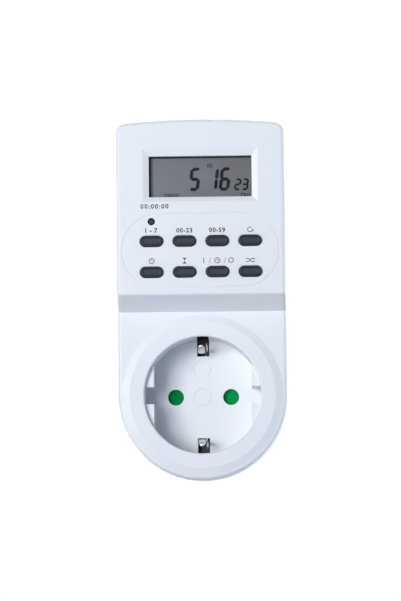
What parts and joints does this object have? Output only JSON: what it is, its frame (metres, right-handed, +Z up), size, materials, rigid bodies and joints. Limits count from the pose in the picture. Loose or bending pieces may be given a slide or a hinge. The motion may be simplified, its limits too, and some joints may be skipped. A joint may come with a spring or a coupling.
{
  "type": "plug in timer switch",
  "caption": "Digital plug-in timer: earthed socket below, display and oblong keys on a raised upper half, round plug boss with two pins behind.",
  "frame": {"origin": "centre of the plug boss's end face, on the shared axis of plug and socket", "axes": "+X to the right seen from the front, +Y the way the plug pins point, +Z up towards the display"},
  "size_m": [0.0576, 0.0751, 0.122],
  "materials": {
    "white_shell": "satin",
    "clear_pane": "smooth",
    "display_glass": "smooth",
    "black_plastic": "satin",
    "elastomer": "satin",
    "green_plastic": "satin",
    "spring_steel": "smooth",
    "tinned_strip": "smooth",
    "nickel_pins": "smooth",
    "contact_brass": "smooth",
    "carrier_plastic": "satin",
    "screw_steel": "smooth",
    "silicone": "satin",
    "green_board": "smooth",
    "black_epoxy": "smooth",
    "crystal_can": "smooth",
    "small_parts": "smooth",
    "cell_steel": "smooth",
    "nickel_tabs": "smooth",
    "power_laminate": "smooth",
    "relay_plastic": "smooth",
    "capacitor_box": "smooth",
    "capacitor_sleeve": "smooth",
    "resistor_coat": "satin",
    "varistor_coat": "satin",
    "fuse_plastic": "smooth",
    "ribbon_vinyl": "satin",
    "header_plastic": "satin",
    "brown_insulation": "satin",
    "black_insulation": "satin",
    "blue_insulation": "satin",
    "grey_keys": "satin"
  },
  "bodies": {
    "timer_body": {"backup_battery": "cell_steel", "battery_tabs": "nickel_tabs", "board_fuse": "fuse_plastic", "board_screws": "screw_steel", "carrier_screws": "screw_steel", "contact_carrier": "carrier_plastic", "control_board": "green_board", "control_board_parts": "small_parts", "controller_chip": "black_epoxy", "crystal": "crystal_can", "dropper_resistors": "resistor_coat", "earth_strap": "tinned_strip", "feed_wire": "brown_insulation", "film_capacitor": "capacitor_box", "front_housing": "white_shell", "housing_screws": "screw_steel", "keypad_mat": "silicone", "lcd_holder": "black_plastic", "lcd_panel": "display_glass", "lcd_window": "clear_pane", "live_contact": "contact_brass", "live_pin": "nickel_pins", "live_tab": "contact_brass", "neutral_contact": "contact_brass", "neutral_pin": "nickel_pins", "neutral_wire": "blue_insulation", "power_board": "power_laminate", "power_board_screws": "screw_steel", "rear_housing": "white_shell", "rectifier_diodes": "black_epoxy", "relay": "relay_plastic", "relay_transistor": "black_epoxy", "ribbon_cable": "ribbon_vinyl", "ribbon_headers": "header_plastic", "shutter_spring": "spring_steel", "smoothing_capacitor": "capacitor_sleeve", "switched_wire": "black_insulation", "varistor": "varistor_coat", "zebra_strips": "elastomer"},
    "key_day_body": {"key_day": "grey_keys"},
    "key_hour_body": {"key_hour": "grey_keys"},
    "key_minute_body": {"key_minute": "grey_keys"},
    "key_recall_body": {"key_recall": "grey_keys"},
    "key_clock_body": {"key_clock": "grey_keys"},
    "key_timer_body": {"key_timer": "grey_keys"},
    "key_mode_body": {"key_mode": "grey_keys"},
    "key_random_body": {"key_random": "grey_keys"},
    "reset_body": {"reset_pin": "grey_keys"},
    "shutter_body": {"shutter": "green_plastic"}
  },
  "joints": [
    {"name": "key_day_press", "type": "slide", "parent": "timer_body", "child": "key_day_body", "axis": [0, 1, 0], "range_m": [0, 0.0007], "stiffness_N_per_m": 1500, "springref_m": -0.0003},
    {"name": "key_hour_press", "type": "slide", "parent": "timer_body", "child": "key_hour_body", "axis": [0, 1, 0], "range_m": [0, 0.0007], "stiffness_N_per_m": 1500, "springref_m": -0.0003},
    {"name": "key_minute_press", "type": "slide", "parent": "timer_body", "child": "key_minute_body", "axis": [0, 1, 0], "range_m": [0, 0.0007], "stiffness_N_per_m": 1500, "springref_m": -0.0003},
    {"name": "key_recall_press", "type": "slide", "parent": "timer_body", "child": "key_recall_body", "axis": [0, 1, 0], "range_m": [0, 0.0007], "stiffness_N_per_m": 1500, "springref_m": -0.0003},
    {"name": "key_clock_press", "type": "slide", "parent": "timer_body", "child": "key_clock_body", "axis": [0, 1, 0], "range_m": [0, 0.0007], "stiffness_N_per_m": 1500, "springref_m": -0.0003},
    {"name": "key_timer_press", "type": "slide", "parent": "timer_body", "child": "key_timer_body", "axis": [0, 1, 0], "range_m": [0, 0.0007], "stiffness_N_per_m": 1500, "springref_m": -0.0003},
    {"name": "key_mode_press", "type": "slide", "parent": "timer_body", "child": "key_mode_body", "axis": [0, 1, 0], "range_m": [0, 0.0007], "stiffness_N_per_m": 1500, "springref_m": -0.0003},
    {"name": "key_random_press", "type": "slide", "parent": "timer_body", "child": "key_random_body", "axis": [0, 1, 0], "range_m": [0, 0.0007], "stiffness_N_per_m": 1500, "springref_m": -0.0003},
    {"name": "reset_press", "type": "slide", "parent": "timer_body", "child": "reset_body", "axis": [0, 1, 0], "range_m": [0, 0.0005], "stiffness_N_per_m": 1000, "springref_m": -0.0002},
    {"name": "shutter_turn", "type": "hinge", "parent": "timer_body", "child": "shutter_body", "pos_m": [0, -0.0254, 0], "axis": [0, 1, 0], "range_deg": [0, 38], "stiffness_Nm_per_rad": 0.004, "springref_deg": -11.46}
  ]
}
